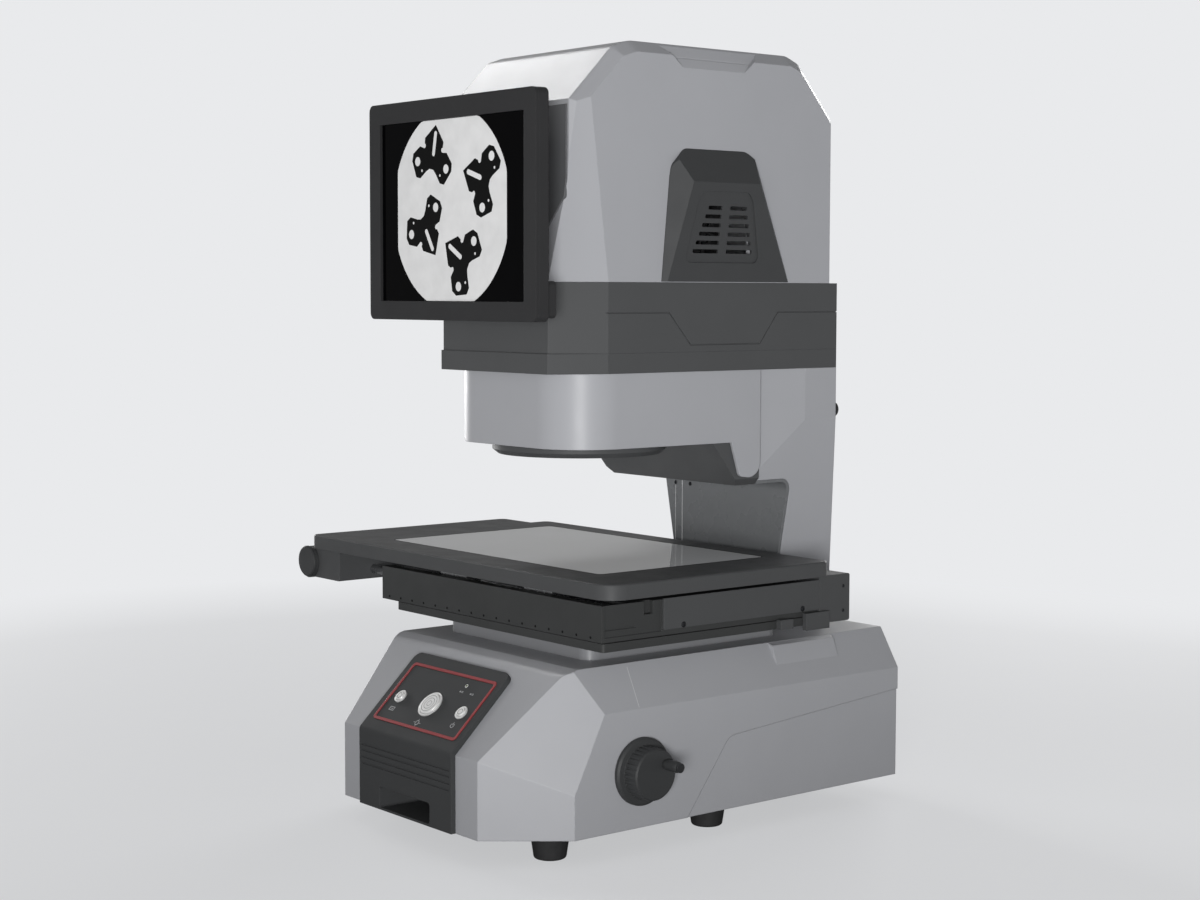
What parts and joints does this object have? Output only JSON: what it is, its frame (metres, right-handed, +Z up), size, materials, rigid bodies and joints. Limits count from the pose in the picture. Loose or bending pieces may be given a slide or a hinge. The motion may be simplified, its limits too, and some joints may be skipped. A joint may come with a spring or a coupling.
{
  "type": "vision measuring machine",
  "caption": "Bench-top vision measuring machine: faceted base with handwheel lift, cross-travel glass stage, column with telecentric optics, vented head and flat monitor.",
  "frame": {"origin": "middle of the machine's outline on the bench, under the feet, with the stage as in the picture", "axes": "+X to the machine's right seen from its front, +Y to its rear, +Z up"},
  "size_m": [0.5148, 0.4474, 0.6787],
  "materials": {
    "light_paint": "fine satin light grey enamel",
    "dark_paint": "fine textured dark grey enamel",
    "black_plastic": "fine grained moulded plastic",
    "red_accent": "satin red line",
    "bright_metal": "polished",
    "steel": "ground",
    "brass": "turned",
    "cast_iron": "cast and painted",
    "aluminium": "anodised",
    "glass": "clear float glass",
    "diffuser": "opal",
    "screen": "glossy panel",
    "rubber": "moulded"
  },
  "bodies": {
    "machine": {"base_cover": "light_paint", "base_frame": "cast_iron", "side_panels": "light_paint", "front_fascia": "black_plastic", "control_border": "red_accent", "button_rings": "bright_metal", "rubber_feet": "rubber", "power_inlet": "black_plastic", "rear_sockets": "black_plastic", "guide_columns": "steel", "drive_bearings": "steel", "column_cover": "light_paint", "column_core": "cast_iron", "throat_panel": "dark_paint", "underside_panel": "dark_paint", "lens_housing": "light_paint", "lens_ring": "dark_paint", "ring_light": "black_plastic", "objective_barrel": "aluminium", "objective_lens": "glass", "camera": "aluminium", "lower_band": "dark_paint", "upper_band": "dark_paint", "head_cover": "light_paint", "front_panel": "dark_paint", "vent_hoods": "black_plastic", "fan_frame": "black_plastic", "monitor_bezel": "black_plastic", "monitor_shell": "black_plastic", "screen_panel": "screen", "monitor_mount": "black_plastic"},
    "wheel": {"handwheel": "black_plastic", "handwheel_shaft": "steel", "crank_pin": "steel"},
    "grip": {"crank_grip": "black_plastic"},
    "lift_drive": {"lift_screw": "steel"},
    "lift": {"plinth": "light_paint", "lift_bushes": "brass", "backlight_housing": "aluminium", "backlight_diffuser": "diffuser", "stage_base": "dark_paint", "y_rails": "steel", "y_drive_housing": "dark_paint"},
    "y_drive": {"y_lead_screw": "steel"},
    "carriage": {"stage_carriage": "dark_paint", "feed_nuts": "brass", "y_bearing_blocks": "steel", "x_rails": "steel", "stage_side_cover": "dark_paint"},
    "table": {"stage_plate": "dark_paint", "stage_glass": "glass", "x_bearing_blocks": "steel", "x_drive_bracket": "dark_paint", "x_motor": "black_plastic"},
    "x_drive": {"x_lead_screw": "steel"},
    "key_left": {"button_left": "bright_metal"},
    "key_center": {"button_center": "bright_metal"},
    "key_right": {"button_right": "bright_metal"},
    "rocker": {"mains_switch": "black_plastic"},
    "fan": {"fan_rotor": "black_plastic"}
  },
  "joints": [
    {"name": "stage_lift", "type": "slide", "parent": "machine", "child": "lift", "axis": [0, 0, 1], "range_m": [0, 0.06]},
    {"name": "handwheel_turn", "type": "hinge", "parent": "machine", "child": "wheel", "pos_m": [0.2179, -0.08725, 0.068], "axis": [1, 0, 0], "range_deg": [-2162, 2]},
    {"name": "lift_screw_turn", "type": "hinge", "parent": "machine", "child": "lift_drive", "pos_m": [0.0679, -0.08725, 0.068], "axis": [0, 0, 1], "range_deg": [-2162, 2]},
    {"name": "grip_spin", "type": "hinge", "parent": "wheel", "child": "grip", "pos_m": [0.2479, -0.07765, 0.076], "axis": [1, 0, 0], "continuous": true},
    {"name": "stage_y", "type": "slide", "parent": "lift", "child": "carriage", "axis": [0, 1, 0], "range_m": [-0.1, 0]},
    {"name": "y_screw_turn", "type": "hinge", "parent": "lift", "child": "y_drive", "pos_m": [0.1989, 0.03075, 0.1955], "axis": [0, 1, 0], "range_deg": [-2, 3602]},
    {"name": "stage_x", "type": "slide", "parent": "carriage", "child": "table", "axis": [1, 0, 0], "range_m": [-0.075, 0.075]},
    {"name": "x_screw_turn", "type": "hinge", "parent": "table", "child": "x_drive", "pos_m": [-0.1321, -0.08725, 0.1955], "axis": [1, 0, 0], "range_deg": [-2702, 2702]},
    {"name": "button_left_press", "type": "slide", "parent": "machine", "child": "key_left", "axis": [0, 0.6934, -0.7206], "range_m": [0, 0.0015], "stiffness_N_per_m": 300},
    {"name": "button_center_press", "type": "slide", "parent": "machine", "child": "key_center", "axis": [0, 0.6934, -0.7206], "range_m": [0, 0.0015], "stiffness_N_per_m": 300},
    {"name": "button_right_press", "type": "slide", "parent": "machine", "child": "key_right", "axis": [0, 0.6934, -0.7206], "range_m": [0, 0.0015], "stiffness_N_per_m": 300},
    {"name": "mains_rocker", "type": "hinge", "parent": "machine", "child": "rocker", "pos_m": [-0.0066, 0.21575, 0.062], "axis": [1, 0, 0], "range_deg": [-8, 8]},
    {"name": "fan_spin", "type": "hinge", "parent": "machine", "child": "fan", "pos_m": [0.1339, 0.04175, 0.524], "axis": [1, 0, 0], "continuous": true}
  ],
  "couplings": [
    {"joint": "handwheel_turn", "follows": "stage_lift", "rad_per_m": -628.32},
    {"joint": "lift_screw_turn", "follows": "stage_lift", "rad_per_m": -628.32},
    {"joint": "y_screw_turn", "follows": "stage_y", "rad_per_m": -628.32},
    {"joint": "x_screw_turn", "follows": "stage_x", "rad_per_m": 628.32}
  ]
}
